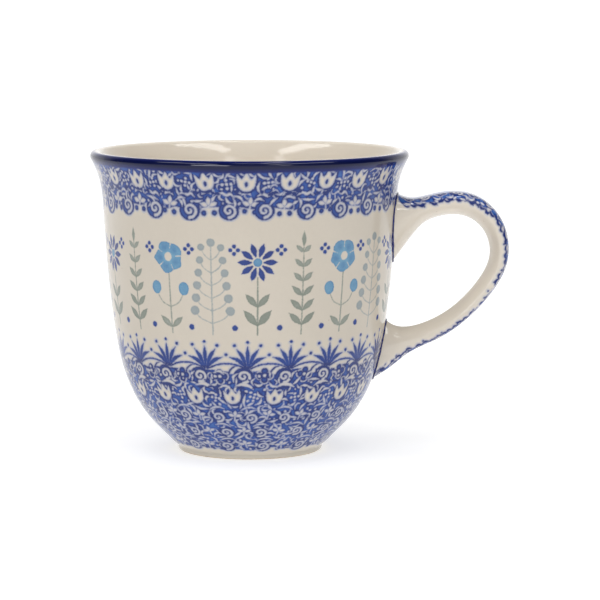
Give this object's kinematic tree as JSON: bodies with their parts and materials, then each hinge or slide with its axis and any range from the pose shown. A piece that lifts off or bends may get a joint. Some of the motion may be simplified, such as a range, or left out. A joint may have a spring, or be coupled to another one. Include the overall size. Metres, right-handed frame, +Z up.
{
  "type": "stoneware mug",
  "caption": "Bell-shaped stoneware mug with a flared lip, low foot ring and ear-shaped strap handle, glazed and stamped in blue.",
  "frame": {"origin": "where the cup's axis meets the plane that the foot ring stands on", "axes": "+Z up along the cup's axis, +X along the handle, -Y the side shown with the handle on the right"},
  "size_m": [0.1263, 0.096, 0.0909],
  "materials": {
    "stoneware": "warm cream stoneware under clear gloss glaze, stamped and painted in cobalt, sky blue, grey-green and pale grey-blue",
    "slip": "smoothed slip seam, painted with a navy line under the gloss glaze"
  },
  "bodies": {
    "root": {"cup_body": "stoneware", "handle": "stoneware", "upper_slip_joint": "slip", "lower_slip_joint": "slip"}
  },
  "joints": []
}
